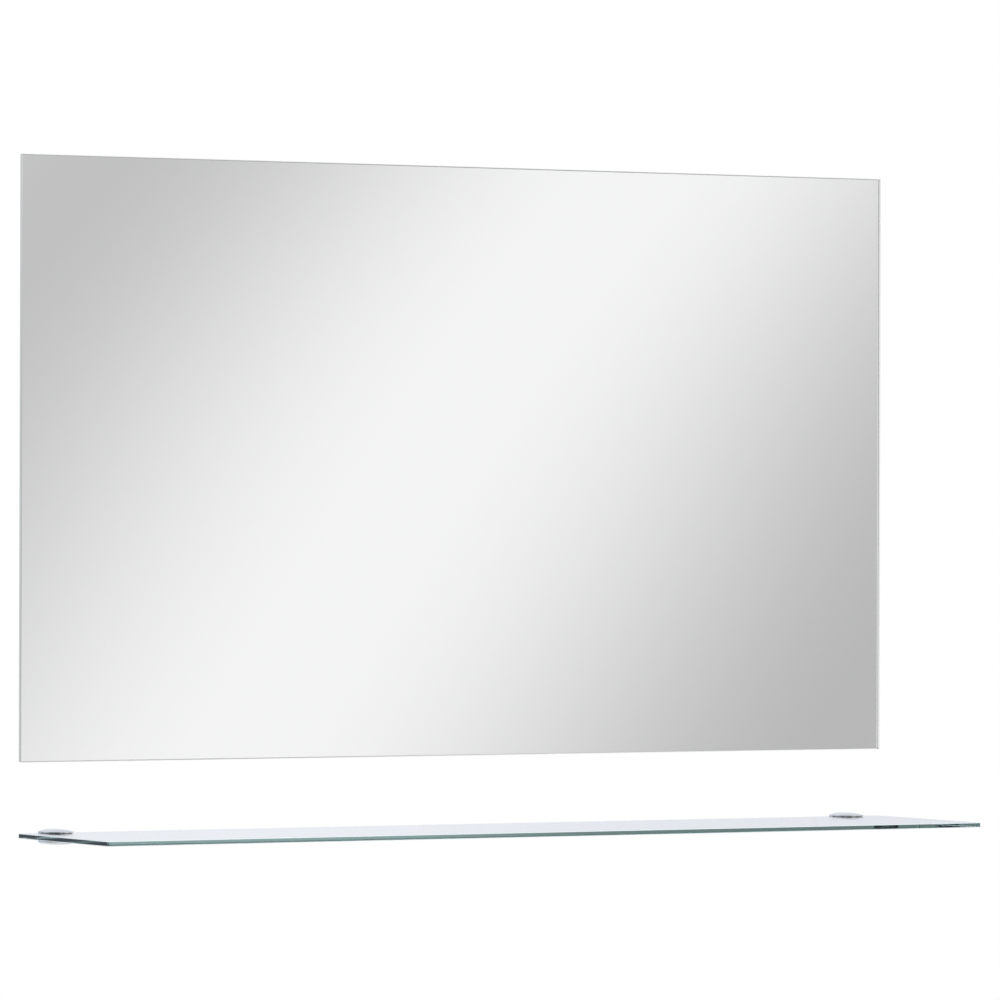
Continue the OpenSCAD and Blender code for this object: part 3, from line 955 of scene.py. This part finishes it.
def banded(tree, place, angle):
    """The bands of light round the room, leaning and curving with height."""
    over = add(tree, "SUBTRACT", place["Z"], BAND_CURVE_FROM).outputs[0]
    above = add(tree, "MAXIMUM", over, 0.0).outputs[0]
    squared = add(tree, "POWER", above, 2.0).outputs[0]
    curve = add(tree, "MULTIPLY", squared, BAND_CURVE).outputs[0]
    straight = add(tree, "MULTIPLY", place["Z"], BAND_LEAN).outputs[0]
    lean = add(tree, "ADD", straight, curve).outputs[0]
    turn = add(tree, "DIVIDE", lean, STAGE_R).outputs[0]
    leaning = add(tree, "SUBTRACT", angle, turn).outputs[0]
    turns = add(tree, "DIVIDE", leaning, 2 * math.pi).outputs[0]
    from_behind = add(tree, "ADD", turns, 0.5).outputs[0]
    share = add(tree, "FRACT", from_behind).outputs[0]
    bands = add(tree, "ShaderNodeValToRGB", share)
    stops = bands.color_ramp.elements
    bands.color_ramp.interpolation = "EASE"
    while len(stops) < len(BAND_STOPS):
        stops.new(0.5)
    for stop, (position, tone) in zip(stops, BAND_STOPS):
        stop.position = position
        stop.color = rgb(tone)
    return bands.outputs["Color"]


def cyclorama():
    """A round pale backdrop that only reflections see. Its front half has broad, soft, leaning
    bands of light, which the mirror shows as a sheen, and its back half is plain. The chrome and
    the faces of the glass also see a dark card to the left of the object."""
    mesh = bmesh.new()
    bmesh.ops.create_uvsphere(mesh, u_segments=64, v_segments=32, radius=STAGE_R)
    made, tree = blank("soft banded backdrop")
    made.cycles.emission_sampling = "NONE"
    light = add(tree, "ShaderNodeLightPath").outputs
    outside = add(tree, "LESS_THAN", light["Transmission Depth"], 0.5).outputs[0]
    object_place = add(tree, "ShaderNodeTexCoord").outputs["Object"]
    place = add(tree, "ShaderNodeSeparateXYZ", object_place).outputs
    forward = add(tree, "MULTIPLY", place["Y"], -1.0).outputs[0]
    angle = add(tree, "ARCTAN2", place["X"], forward).outputs[0]

    height = add(tree, "ABSOLUTE", place["Z"]).outputs[0]
    off_level = between(tree, height, *BEHIND_LEFT_HEIGHT, 0.0, 1.0)
    right = between(tree, place["X"], *BEHIND_LEFT_SIDE, 0.0, 1.0)
    pale = add(tree, "MAXIMUM", right, off_level).outputs[0]
    plain = add(tree, "ShaderNodeMix", settings=COLOURS, Factor=pale, A=rgb(BEHIND_LEFT),
                B=rgb(BEHIND_RIGHT))
    back_half = between(tree, place["Y"], *BEHIND_FROM, 0.0, 1.0)
    behind = add(tree, "MULTIPLY", back_half, outside).outputs[0]
    room = add(tree, "ShaderNodeMix", settings=COLOURS, Factor=behind,
               A=banded(tree, place, angle), B=plain.outputs[MIXED_COLOUR])

    card = outside
    for edge in (between(tree, place["Z"], *CARD_BOTTOM, 0.0, 1.0),
                 between(tree, place["Z"], *CARD_TOP, 1.0, 0.0),
                 between(tree, angle, *CARD_LEFT, 0.0, 1.0),
                 between(tree, angle, *CARD_RIGHT, 1.0, 0.0)):
        card = add(tree, "MULTIPLY", card, edge).outputs[0]
    carded = add(tree, "ShaderNodeMix", settings=COLOURS, Factor=card,
                 A=room.outputs[MIXED_COLOUR], B=rgb(DARK_CARD))
    glow = add(tree, "ShaderNodeEmission", Color=carded.outputs[MIXED_COLOUR])
    clear = add(tree, "ShaderNodeBsdfTransparent")
    reflected = add(tree, "MINIMUM", light["Glossy Depth"], 1.0).outputs[0]
    mix = add(tree, "ShaderNodeMixShader", reflected, clear.outputs[0], glow.outputs[0])
    add(tree, "ShaderNodeOutputMaterial", Surface=mix.outputs[0])
    ball = piece("studio backdrop", mesh, made)
    ball.visible_camera = False
    ball.visible_diffuse = False
    ball.visible_shadow = False
    ball.visible_volume_scatter = False


def soft_light(name, power, place, aim, in_gloss=True):
    """A round lamp that glass doesn't show through itself."""
    lamp = bpy.data.lights.new(name, "AREA")
    lamp.shape = "DISK"
    lamp.energy = power
    lamp.size = LAMP_SIZE
    made = bpy.data.objects.new(name, lamp)
    made.visible_glossy = in_gloss
    made.visible_transmission = False
    made.location = place
    made.rotation_euler = (Vector(aim) - Vector(place)).to_track_quat("-Z", "Y").to_euler()
    bpy.context.scene.collection.objects.link(made)


studio_world()
floor()
cyclorama()
soft_light("front key", 90, (-2.6, -3.4, 2.6), (0, -0.1, 0.25))
soft_light("front fill", 50, (3.2, -2.8, 1.6), (0, -0.1, 0.25))
soft_light("back fill", 90, (1.8, 3.6, 2.4), (0, 0, 0.3), in_gloss=False)


# ---- Camera ----

LENS = 258.6
CAMERA_PLACE = (-3.551, -6.412, 0.3129)
YAW, PITCH, ROLL = (math.radians(a) for a in (29.30, 0.16, 0.15))

camera_data = bpy.data.cameras.new("photo view")
camera_data.lens = LENS
camera_data.sensor_width = 36
camera_data.clip_start = 0.1
camera_data.clip_end = 60
camera = bpy.data.objects.new("photo view", camera_data)
camera.matrix_world = (
    Matrix.Translation(CAMERA_PLACE)
    @ Matrix.Rotation(-YAW, 4, "Z")
    @ Matrix.Rotation(math.radians(90) + PITCH, 4, "X")
    @ Matrix.Rotation(ROLL, 4, "Z"))
bpy.context.scene.collection.objects.link(camera)
bpy.context.scene.camera = camera
bpy.context.scene.view_settings.view_transform = "Standard"

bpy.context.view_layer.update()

# Light runs along a glass sheet between its faces, so its edges need long light paths.
rays = bpy.context.scene.cycles
rays.max_bounces = 40
rays.transmission_bounces = 40
rays.glossy_bounces = 40
